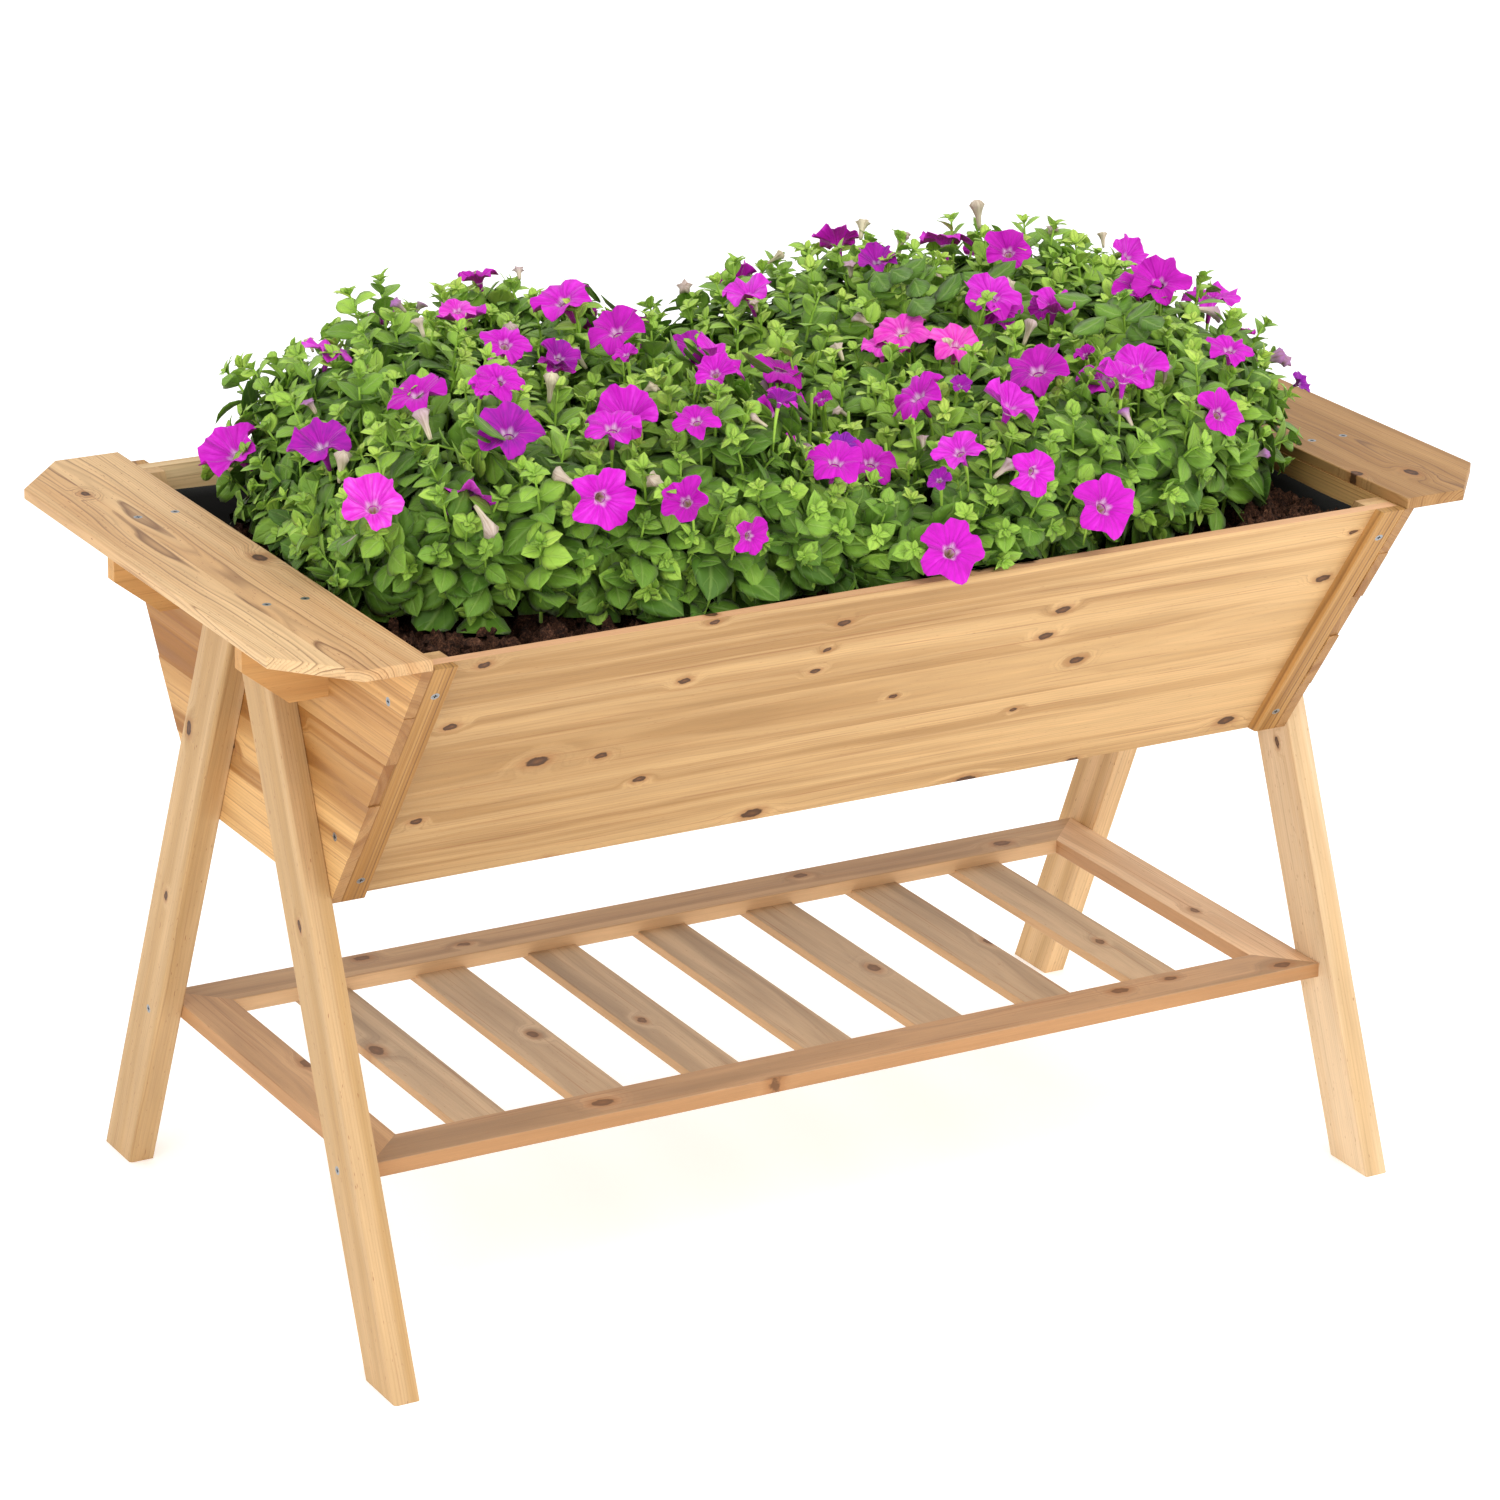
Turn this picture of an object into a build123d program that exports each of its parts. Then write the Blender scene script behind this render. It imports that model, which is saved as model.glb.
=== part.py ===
from build123d import *
import os

# Raised trough planter on two A-shaped leg pairs, with a slatted storage shelf. Millimetres.
# X runs along the trough, Y across it, Z is up. The origin is on the ground, under the middle.

# --- Driving dimensions -------------------------------------------------------------------------
overall_length = 1410.0
overall_depth = 744.0
overall_height = 783.0

# Rim boards: the flat boards that cap both ends of the trough
rim_board_width = 138.0
rim_board_thickness = 12.0
rim_corner_cut_x = 66.0
rim_corner_cut_y = 76.0

# Trough
end_panel_face_x = 577.5
panel_thickness = 12.0
rim_half_depth = 370.0
base_half_depth = 162.0
trough_base_z = 461.0
end_strip_tops = (525.0, 594.0, 650.0, 710.0)
end_strip_steps = (0.0, 1.2, -1.4, 0.9, 0.0)
batten_width = 27.0
batten_thickness = 12.0
post_width = 30.0
post_thickness = 16.0
floor_board_width = 92.0
floor_board_gap = 7.0
bearer_section = 20.0
bearer_spacing = 363.5

# Legs
leg_thickness = 28.0
foot_outer_y = 361.0
leg_slope = 0.4136
leg_level_width = 68.5

# Brackets under the rim boards
bracket_y = 155.0
bracket_thickness = 16.0
bracket_reach_x = 670.0
bracket_nose_z = 720.0
bracket_heel_x = 620.0
bracket_base_z = 681.0

# Shelf
shelf_top_z = 213.5
shelf_rail_width = 55.0
shelf_rail_thickness = 17.0
shelf_half_depth = 251.0
slat_count = 7
slat_pitch = 138.0
slat_width = 59.0
slat_thickness = 11.0
slat_housing_depth = 4.0
slat_half_length = 221.0

# Contents
liner_thickness = 1.5
liner_gap = 0.3
liner_top_z = 748.0
soil_top_z = 734.0

# Mound of plants: (height, half length, half depth) of its level sections, and how round they are
mound_sections = (
    (soil_top_z, 520.0, 290.0),
    (800.0, 560.0, 335.0),
    (900.0, 555.0, 345.0),
    (990.0, 480.0, 280.0),
    (1035.0, 360.0, 180.0),
)
mound_rounding = 0.45

# Edge easing
board_ease = 1.5
leg_ease = 4.0

# Countersunk cross-head screws
head_radius = 4.6
shank_radius = 2.0
head_depth = 2.8
cross_arm = 5.0
cross_slot = 1.3
cross_depth = 1.7

# Screw places
rim_screw_x = (598.0, 639.0)
batten_screw_z = (488.0, 735.0)
end_panel_screw_z = (537.0, 718.0)
leg_screw_z = (520.0, 640.0)
bracket_screw_z = (705.0, 745.0)
shelf_screw_y = 233.0
slat_screw_y = 209.0

# --- Worked-out sizes ---------------------------------------------------------------------------
rim_z = overall_height - rim_board_thickness
end_panel_inner_x = end_panel_face_x - panel_thickness
leg_face_x = end_panel_face_x + leg_thickness
side_slope = (rim_half_depth - base_half_depth) / (rim_z - trough_base_z)
level_factor = (1 + side_slope ** 2) ** 0.5
panel_outer = batten_thickness
panel_inner = batten_thickness + panel_thickness
post_inner = panel_inner + post_thickness
floor_z = trough_base_z + bearer_section
floor_top_z = floor_z + panel_thickness
shelf_underside_z = shelf_top_z - shelf_rail_thickness
shelf_middle_z = shelf_top_z - shelf_rail_thickness / 2
slat_underside_z = shelf_underside_z + slat_housing_depth - slat_thickness
slat_places = [(i - (slat_count - 1) / 2) * slat_pitch for i in range(slat_count)]
bearer_places = [(i - 1.5) * bearer_spacing for i in range(4)]
floor_board_places = [(i - 1) * (floor_board_width + floor_board_gap) for i in range(3)]

parts = {}


def side_y(z, depth=0.0):
    """Half depth of the trough at height z, measured depth mm in from the battens' outer face."""
    return base_half_depth + side_slope * (z - trough_base_z) - depth * level_factor


def prism_x(points, x_from, x_to):
    """Polygon of (y, z) points run along X."""
    face = make_face(Polyline([(0, y, z) for y, z in points], close=True))
    return Pos(min(x_from, x_to), 0, 0) * extrude(face, amount=abs(x_to - x_from), dir=(1, 0, 0))


def prism_y(points, y_from, y_to):
    """Polygon of (x, z) points run along Y."""
    face = make_face(Polyline([(x, 0, z) for x, z in points], close=True))
    return Pos(0, min(y_from, y_to), 0) * extrude(face, amount=abs(y_to - y_from), dir=(0, 1, 0))


def block(x, y, z):
    """Box between three (low, high) pairs."""
    size = [pair[1] - pair[0] for pair in (x, y, z)]
    corner = (x[0], y[0], z[0])
    return Pos(corner) * Box(*size, align=(Align.MIN, Align.MIN, Align.MIN))


def side_band(inner, outer, z_from, z_to, x_from, x_to, front):
    """Slanted board of a long side, between two depths in from the battens' outer face."""
    sign = -1 if front else 1
    corners = [
        (sign * side_y(z_from, inner), z_from),
        (sign * side_y(z_from, outer), z_from),
        (sign * side_y(z_to, outer), z_to),
        (sign * side_y(z_to, inner), z_to),
    ]
    return prism_x(corners, x_from, x_to)


def ease(shape, radius, axis):
    """Round the edges that run along one axis."""
    return fillet(shape.edges().filter_by(axis), radius)


def slanted_edges(shape):
    """Edges that run up a leaning piece, the lowest X first."""
    rising = shape.edges().filter_by(lambda edge: edge.length > 300 and abs(edge.tangent_at(0).X) < 0.5)
    return rising.sort_by(Axis.X)


def mirrored_x(shape):
    return mirror(shape, Plane.YZ)


def mirrored_y(shape):
    return mirror(shape, Plane.XZ)


# --- Wooden pieces ------------------------------------------------------------------------------
def rim_board():
    """Board over the left end, its outer corners cut off."""
    outer_x = -overall_length / 2
    inner_x = outer_x + rim_board_width
    half = overall_depth / 2
    outline = [
        (inner_x, -half),
        (inner_x, half),
        (outer_x + rim_corner_cut_x, half),
        (outer_x, half - rim_corner_cut_y),
        (outer_x, -half + rim_corner_cut_y),
        (outer_x + rim_corner_cut_x, -half),
    ]
    face = make_face(Polyline([(x, y, rim_z) for x, y in outline], close=True))
    board = extrude(face, amount=rim_board_thickness, dir=(0, 0, 1))
    top_and_bottom = board.edges().filter_by(lambda edge: abs(edge.tangent_at(0).Z) < 0.5)
    return fillet(top_and_bottom, board_ease)


def end_panel():
    """Left end of the trough: glued strips whose slanted ends step a little at the joints."""
    levels = (trough_base_z, *end_strip_tops, rim_z)
    edge = []
    for low, high, step in zip(levels, levels[1:], end_strip_steps):
        edge.append((side_y(low) + step, low))
        edge.append((side_y(high) + step, high))
    outline = edge + [(-y, z) for y, z in reversed(edge)]
    kept = [p for i, p in enumerate(outline) if p != outline[i - 1]]
    return prism_x(kept, -end_panel_face_x, -end_panel_inner_x)


def long_panel():
    """Front side panel, between the two ends."""
    reach = end_panel_inner_x
    return side_band(panel_inner, panel_outer, trough_base_z, rim_z, -reach, reach, True)


def corner_batten():
    """Strip over the front left joint, outside the long panel."""
    x_from = -end_panel_inner_x
    strip = side_band(panel_outer, 0, trough_base_z, rim_z, x_from, x_from + batten_width, True)
    outer_edges = slanted_edges(strip).sort_by(Axis.Y)[:2]
    return fillet(outer_edges, board_ease)


def corner_post():
    """Strip inside the front left corner that the end panel and long panel are screwed to."""
    x_from = -end_panel_inner_x
    return side_band(post_inner, panel_inner, floor_top_z, rim_z, x_from, x_from + post_width, True)


def floor_bearer(x):
    """Cross bearer between the long panels, flush with their lower edges."""
    low = side_y(trough_base_z, panel_inner)
    high = side_y(floor_z, panel_inner)
    outline = [(-low, trough_base_z), (low, trough_base_z), (high, floor_z), (-high, floor_z)]
    return prism_x(outline, x - bearer_section / 2, x + bearer_section / 2)


def floor_board(y):
    """Floor board, with a drainage gap beside it."""
    reach = end_panel_inner_x
    half = floor_board_width / 2
    board = block((-reach, reach), (y - half, y + half), (floor_z, floor_top_z))
    return ease(board, board_ease, Axis.X)


def leg():
    """Front left leg: leans in to meet its pair on the middle plane, up to the rim board."""
    outer_top = foot_outer_y - leg_slope * rim_z
    inner_foot = foot_outer_y - leg_level_width
    crotch_z = inner_foot / leg_slope
    outline = [
        (-foot_outer_y, 0),
        (-inner_foot, 0),
        (0, crotch_z),
        (0, rim_z),
        (-outer_top, rim_z),
    ]
    solid = prism_x(outline, -leg_face_x, -end_panel_face_x)
    solid = fillet(slanted_edges(solid)[:2], leg_ease)
    return fillet(slanted_edges(solid)[-2:], board_ease)


def leg_middle_y(z):
    """Half distance between the middles of a pair of legs at height z."""
    return foot_outer_y - leg_level_width / 2 - leg_slope * z


def rim_bracket():
    """Bracket under the left rim board, running out from the end panel, its lower corner cut off."""
    outline = [
        (-end_panel_face_x, rim_z),
        (-bracket_reach_x, rim_z),
        (-bracket_reach_x, bracket_nose_z),
        (-bracket_heel_x, bracket_base_z),
        (-end_panel_face_x, bracket_base_z),
    ]
    half = bracket_thickness / 2
    return prism_y(outline, -bracket_y - half, -bracket_y + half)


def mitred_rail(length, width, thickness):
    """Flat rail along X on the ground plane, its outer edge on y = 0, its ends cut at 45 degrees."""
    outline = [
        (-length / 2, 0),
        (length / 2, 0),
        (length / 2 - width, width),
        (-length / 2 + width, width),
    ]
    rail = extrude(make_face(Polyline(outline, close=True)), amount=thickness, dir=(0, 0, 1))
    return ease(rail, board_ease, Axis.X)


def shelf_long_rail():
    """Front rail of the shelf frame, with a shallow housing under it for each slat."""
    rail = mitred_rail(2 * end_panel_face_x, shelf_rail_width, shelf_rail_thickness)
    rail = Pos(0, -shelf_half_depth, shelf_underside_z) * rail
    for x in slat_places:
        rail = rail - slat_block(x)
    return rail


def shelf_end_rail():
    """Left rail of the shelf frame."""
    rail = mitred_rail(2 * shelf_half_depth, shelf_rail_width, shelf_rail_thickness)
    return Pos(-end_panel_face_x, 0, shelf_underside_z) * Rot(0, 0, -90) * rail


def slat_block(x):
    """Square-edged slat at x, let a little way into the long rails."""
    half = slat_width / 2
    z = (slat_underside_z, slat_underside_z + slat_thickness)
    return block((x - half, x + half), (-slat_half_length, slat_half_length), z)


def shelf_slat(x):
    """Slat across the shelf, under the long rails."""
    return ease(slat_block(x), board_ease, Axis.Y)


# --- Liner, soil and plants ---------------------------------------------------------------------
def cavity(gap, z_to):
    """Inside of the trough up to z_to, gap mm clear of the panels, the floor and the corner posts."""
    z_from = floor_top_z + gap
    reach = end_panel_inner_x - gap
    low = side_y(z_from, panel_inner + gap)
    high = side_y(z_to, panel_inner + gap)
    space = prism_x([(-low, z_from), (low, z_from), (high, z_to), (-high, z_to)], -reach, reach)
    post_x = reach - post_width
    for front in (True, False):
        post = side_band(post_inner + gap, batten_thickness, floor_z, rim_z, post_x, leg_face_x, front)
        space = space - post - mirrored_x(post)
    return space


def liner():
    """Fabric bag against the panels, open at the top."""
    return cavity(liner_gap, liner_top_z) - cavity(liner_gap + liner_thickness, rim_z)


def soil():
    """Fill inside the liner."""
    return cavity(liner_gap + liner_thickness, soil_top_z)


def plants():
    """Plain mound that stands for the bedding plants above the soil."""
    faces = [
        Pos(0, 0, z) * RectangleRounded(2 * x, 2 * y, mound_rounding * y).face()
        for z, x, y in mound_sections
    ]
    layers = [loft(Sketch() + list(pair), ruled=True) for pair in zip(faces, faces[1:])]
    return layers[0].fuse(*layers[1:])


# --- Screws -------------------------------------------------------------------------------------
def screw_shape(length):
    """Countersunk screw pointing down, its head's top on z = 0."""
    cone = Pos(0, 0, -head_depth / 2) * Cone(shank_radius, head_radius, head_depth)
    shank = Pos(0, 0, -(head_depth + length) / 2) * Cylinder(shank_radius, length - head_depth)
    return cone + shank


def cross_recess():
    """Four-armed recess in the head."""
    return Box(cross_arm, cross_slot, 2 * cross_depth) + Box(cross_slot, cross_arm, 2 * cross_depth)


def place(position, direction):
    """Location whose local -Z points along direction, into the wood."""
    x, y, z = (-component for component in direction)
    return Plane(origin=position, z_dir=(x, y, z)).location


def both_ends(position, direction):
    """The same fixing at the left end, then at the right end."""
    x, y, z = position
    dx, dy, dz = direction
    return [((x, y, z), (dx, dy, dz)), ((-x, y, z), (-dx, dy, dz))]


def both_sides(fixings):
    """Each fixing, then the same one on the back."""
    return [
        ((x, s * y, z), (dx, s * dy, dz)) for (x, y, z), (dx, dy, dz) in fixings for s in (1, -1)
    ]


def four_corners(position, direction):
    return both_sides(both_ends(position, direction))


into_side = (0, 1 / level_factor, side_slope / level_factor)
post_line = panel_inner + post_thickness / 2
batten_x = -end_panel_inner_x + batten_width / 2

# name: (length, [(position, direction), ...])
screws = {
    "rim_board_screws": (32, [
        fixing for x in rim_screw_x for fixing in four_corners((-x, -bracket_y, overall_height), (0, 0, -1))
    ]),
    "batten_screws": (35, [
        fixing for z in batten_screw_z for fixing in four_corners((batten_x, -side_y(z), z), into_side)
    ]),
    "end_panel_screws": (30, [
        fixing
        for z in end_panel_screw_z
        for fixing in four_corners((-end_panel_face_x, -side_y(z, post_line), z), (1, 0, 0))
    ]),
    "leg_screws": (35, [
        fixing
        for z in leg_screw_z
        for fixing in four_corners((-end_panel_inner_x, -leg_middle_y(z), z), (-1, 0, 0))
    ]),
    "bracket_screws": (40, [
        fixing
        for z in bracket_screw_z
        for fixing in four_corners((-end_panel_inner_x, -bracket_y, z), (-1, 0, 0))
    ]),
    "shelf_leg_screws": (50, four_corners((-leg_face_x, -shelf_screw_y, shelf_middle_z), (1, 0, 0))),
    "slat_screws": (20, both_sides([
        ((x, -slat_screw_y, slat_underside_z), (0, 0, 1)) for x in slat_places
    ])),
    "floor_screws": (26, [
        ((x, y, floor_top_z), (0, 0, -1)) for x in bearer_places for y in floor_board_places
    ]),
}


def add_screws():
    """Each group of equal screws as one node."""
    for name, (length, fixings) in screws.items():
        screw = screw_shape(length) - cross_recess()
        parts[name] = Compound(children=[place(*fixing) * screw for fixing in fixings])


# --- Assembly -----------------------------------------------------------------------------------
def add_pair(name, shape, flip):
    """A piece and its mirror image, named for their places."""
    first, second = ("left", "right") if flip is mirrored_x else ("front", "back")
    parts[name.format(first)] = shape
    parts[name.format(second)] = flip(shape)


def add_four(name, shape):
    """A front left piece and its three mirror images."""
    parts[name.format("front_left")] = shape
    parts[name.format("front_right")] = mirrored_x(shape)
    parts[name.format("back_left")] = mirrored_y(shape)
    parts[name.format("back_right")] = mirrored_x(mirrored_y(shape))


def build_wood():
    add_pair("{}_rim_board", rim_board(), mirrored_x)
    add_pair("{}_end_panel", end_panel(), mirrored_x)
    add_pair("{}_panel", long_panel(), mirrored_y)
    add_four("{}_batten", corner_batten())
    add_four("{}_corner_post", corner_post())
    add_four("{}_leg", leg())
    add_four("{}_bracket", rim_bracket())
    for i, x in enumerate(bearer_places):
        parts[f"floor_bearer_{i + 1}"] = floor_bearer(x)
    for i, y in enumerate(floor_board_places):
        parts[f"floor_board_{i + 1}"] = floor_board(y)
    add_pair("shelf_{}_rail", shelf_long_rail(), mirrored_y)
    add_pair("shelf_{}_rail", shelf_end_rail(), mirrored_x)
    for i, x in enumerate(slat_places):
        parts[f"shelf_slat_{i + 1}"] = shelf_slat(x)


def overlap(box, other):
    """Whether two bounding boxes meet."""
    limits = zip(box.min, box.max, other.min, other.max)
    return all(low <= other_high and high >= other_low for low, high, other_low, other_high in limits)


def drill(holes):
    """Cut every screw's hole out of the wood that it passes through."""
    for name, shape in parts.items():
        box = shape.bounding_box()
        for hole in holes:
            if overlap(box, hole.bounding_box()):
                shape = shape - hole
        parts[name] = shape


build_wood()
drill([place(*fixing) * screw_shape(length) for length, fixings in screws.values() for fixing in fixings])
add_screws()
parts["liner"] = liner()
parts["soil"] = soil()
parts["plants"] = plants()

os.makedirs("parts", exist_ok=True)
for name, shape in parts.items():
    shape.label = name
    export_step(shape, f"parts/{name}.step")
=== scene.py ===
import math

import bpy
import numpy as np
from mathutils import Matrix, Vector


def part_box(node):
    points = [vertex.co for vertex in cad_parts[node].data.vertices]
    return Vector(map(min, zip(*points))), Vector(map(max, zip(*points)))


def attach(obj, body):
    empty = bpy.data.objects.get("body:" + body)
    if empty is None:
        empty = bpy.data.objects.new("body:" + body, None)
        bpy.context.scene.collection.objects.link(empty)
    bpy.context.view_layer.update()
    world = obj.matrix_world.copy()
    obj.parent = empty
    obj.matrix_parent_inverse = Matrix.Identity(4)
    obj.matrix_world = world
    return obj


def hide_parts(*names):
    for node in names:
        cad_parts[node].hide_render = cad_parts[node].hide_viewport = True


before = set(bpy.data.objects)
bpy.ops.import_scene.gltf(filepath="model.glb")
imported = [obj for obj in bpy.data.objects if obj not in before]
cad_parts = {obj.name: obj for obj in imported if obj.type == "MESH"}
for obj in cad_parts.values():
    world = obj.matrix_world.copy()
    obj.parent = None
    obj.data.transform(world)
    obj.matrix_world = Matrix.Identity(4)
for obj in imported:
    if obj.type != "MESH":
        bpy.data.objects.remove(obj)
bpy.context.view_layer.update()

# Raised fir planter on legs, filled with potting soil and bedding petunias.
# Lengths are metres in meshes and millimetres in wood patterns. X runs along the trough, the front is -Y.
MM = 0.001
ALONG_X = (1, 0, 0)
ALONG_Y = (0, 1, 0)
UP = (0, 0, 1)
TURN = 2 * math.pi
ANY_PHASE = 6.3                         # about a full turn, the reach of random angles
GOLDEN_ANGLE = 2.39996

# Trough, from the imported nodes
rim_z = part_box("front_panel")[1][2]
rim_half_depth = -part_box("front_left_batten")[0][1]
floor_top_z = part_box("floor_board_1")[1][2]
inner_x_half = abs(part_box("left_end_panel")[1][0])
soil_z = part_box("soil")[1][2]
liner_top_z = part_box("liner")[1][2]
side_slope = 0.671                      # run over rise of the long sides
level_factor = math.hypot(1, side_slope)
leg_slope = 0.4136                      # run over rise of the legs
panel_depth, post_depth = 0.024, 0.040  # inner faces of panel and corner post, behind the battens' face
post_side = 0.030                       # how far a corner post stands in from the end panel
liner_gap = 0.0012
plant_foot_z = 0.742                    # lowest leaves and shoots

# Short names of shader nodes: kind, inputs in order, output, settings
RANGE = ("Value", "From Min", "From Max", "To Min", "To Max")
SHORT = {
    "mix": ("Mix", (0, 6, 7), 2, {"data_type": "RGBA"}),
    "noise": ("TexNoise", ("Vector", "Scale", "Detail", "Roughness"), 0, {}),
    "random": ("TexWhiteNoise", ("W",), 0, {"noise_dimensions": "1D"}),
    "range": ("MapRange", RANGE, 0, {}),
    "ease": ("MapRange", RANGE, 0, {"interpolation_type": "SMOOTHSTEP"}),
    "stretch": ("VectorMath", (0, 1), 0, {"operation": "MULTIPLY"}),
    "length": ("VectorMath", (0,), "Value", {"operation": "LENGTH"}),
    "bump": ("Bump", ("Height", "Strength", "Distance"), 0, {}),
}


# --- Small helpers ---
def linear(colour):
    """An sRGB hex colour as the linear numbers that the shaders work in."""
    value = np.array([int(colour[i:i + 2], 16) for i in (1, 3, 5)]) / 255
    value = np.where(value <= 0.04045, value / 12.92, ((value + 0.055) / 1.055) ** 2.4)
    return (*value.tolist(), 1.0)


def new_material(name):
    """An empty node material, and the function that adds a node to it with its settings and links."""
    material = bpy.data.materials.new(name)
    material.use_nodes = True
    tree = material.node_tree
    tree.nodes.clear()

    def add(kind, *values, named=None, out=None, stops=(), **settings):
        """Adds a shader node, feeds its inputs in order or by name, and gives back one output. Capitals
        are operations of the Math node, and hex strings are colours."""
        kind, slots, usual, preset = SHORT.get(kind, (kind, range(4), 0, {}))
        if kind.isupper():
            kind, preset = "Math", {"operation": kind}
        made = tree.nodes.new("ShaderNode" + kind)
        for key, value in {**preset, **settings}.items():
            setattr(made, key, value)
        for key, value in (*zip(slots, values), *(named or {}).items()):
            if isinstance(value, bpy.types.NodeSocket):
                tree.links.new(value, made.inputs[key])
            else:
                made.inputs[key].default_value = linear(value) if isinstance(value, str) else value
        for i, (place, colour) in enumerate(stops):
            ends = made.color_ramp.elements
            stop = ends[i] if i < 2 else ends.new(place)
            stop.position = place
            stop.color = linear(colour) if isinstance(colour, str) else colour
        return made.outputs[usual if out is None else out] if len(made.outputs) else made

    return material, add


def coat(add, colour, rough, bump=None, specular=0.5, **more):
    """Ends a material with its surface shader; more names other inputs, an underscore for each space."""
    named = {"Base Color": colour, "Roughness": rough, "Specular IOR Level": specular}
    if bump is not None:
        named["Normal"] = bump
    named.update({key.replace("_", " "): value for key, value in more.items()})
    add("OutputMaterial", named={"Surface": add("BsdfPrincipled", named=named)})


def lattice(x, y, cell, rng):
    """Smooth noise from 0 to 1: random numbers on a square lattice of that cell, eased between corners."""
    grid = rng.random((64, 64))
    u, v = x / cell + 500, y / cell + 500
    i, j = np.floor(u).astype(int), np.floor(v).astype(int)
    a, b = u - i, v - j
    a, b = a * a * (3 - 2 * a), b * b * (3 - 2 * b)
    corner = [grid[(i + p) % 64, (j + q) % 64] for p in (0, 1) for q in (0, 1)]
    return (1 - a) * ((1 - b) * corner[0] + b * corner[1]) + a * ((1 - b) * corner[2] + b * corner[3])


def unit(v):
    """Vectors over their own lengths."""
    return v / np.maximum(np.linalg.norm(v, axis=-1, keepdims=True), 1e-9)


def square_to(v, axis):
    """The direction of vectors v once their share along a unit axis is taken away."""
    return unit(v - (v * axis).sum(-1, keepdims=True) * axis)


def walls(index):
    """Quads between each row of point numbers and the next one, closed round."""
    turned = np.roll(index, -1, axis=-1)
    quads = [index[..., :-1, :], turned[..., :-1, :], turned[..., 1:, :], index[..., 1:, :]]
    return np.stack(quads, axis=-1).reshape(-1, 4)


def loft(rings):
    """Closed skins through rings[shape, section, point]: walls between sections and a flat cap at each
    end, facing outwards."""
    n, s, k, _ = rings.shape
    index = np.arange(n * s * k).reshape(n, s, k)
    quads = walls(index)
    caps = np.concatenate([index[:, 0, ::-1], index[:, -1]])
    p = rings.reshape(-1, 3)
    a, b, c, d = (p[quads[:, i]] for i in range(4))
    volume = (a * np.cross(b, c)).sum() + (a * np.cross(c, d)).sum()
    if volume < 0:
        quads, caps = quads[:, ::-1], caps[:, ::-1]
    return p, quads.tolist() + caps.tolist()


def in_frame(base, *parts):
    """Points off each base: every part is a direction and how far to go along it."""
    points = base[:, None, None]
    for direction, far in parts:
        points = points + direction[:, None, None] * far[..., None]
    return points


def ring_rows(seat, look, helper, turn, radius, height):
    """Rings round the direction look from each seat, at that radius and height."""
    side = unit(np.cross(look, helper))
    over = np.cross(look, side)
    return in_frame(seat, (side, radius * np.cos(turn)), (over, radius * np.sin(turn)), (look, height))


def ring_marks(round_it, along, each):
    """Marks for rings: one number round each ring, one for each section, one for each shape."""
    parts = np.broadcast_arrays(round_it[None, None], along[None, :, None], each[:, None, None])
    return np.stack(parts, axis=-1)


def make_piece(name, points, faces, material, marks=None, smooth=True):
    """A mesh object at the origin, riding on the frame; marks are three numbers for each point."""
    mesh = bpy.data.meshes.new(name)
    mesh.from_pydata(np.asarray(points, float), [], faces)
    mesh.polygons.foreach_set("use_smooth", np.full(len(mesh.polygons), smooth))
    if marks is not None:
        mesh.attributes.new("marks", "FLOAT_VECTOR", "POINT")
        mesh.attributes["marks"].data.foreach_set("vector", np.asarray(marks, np.float32).ravel())
    mesh.materials.append(material)
    mesh.update()
    piece = bpy.data.objects.new(name, mesh)
    bpy.context.scene.collection.objects.link(piece)
    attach(piece, "root")
    return piece


def dress(node, material):
    """Gives a CAD node its finish."""
    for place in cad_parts[node].material_slots:
        place.material = material


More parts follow.
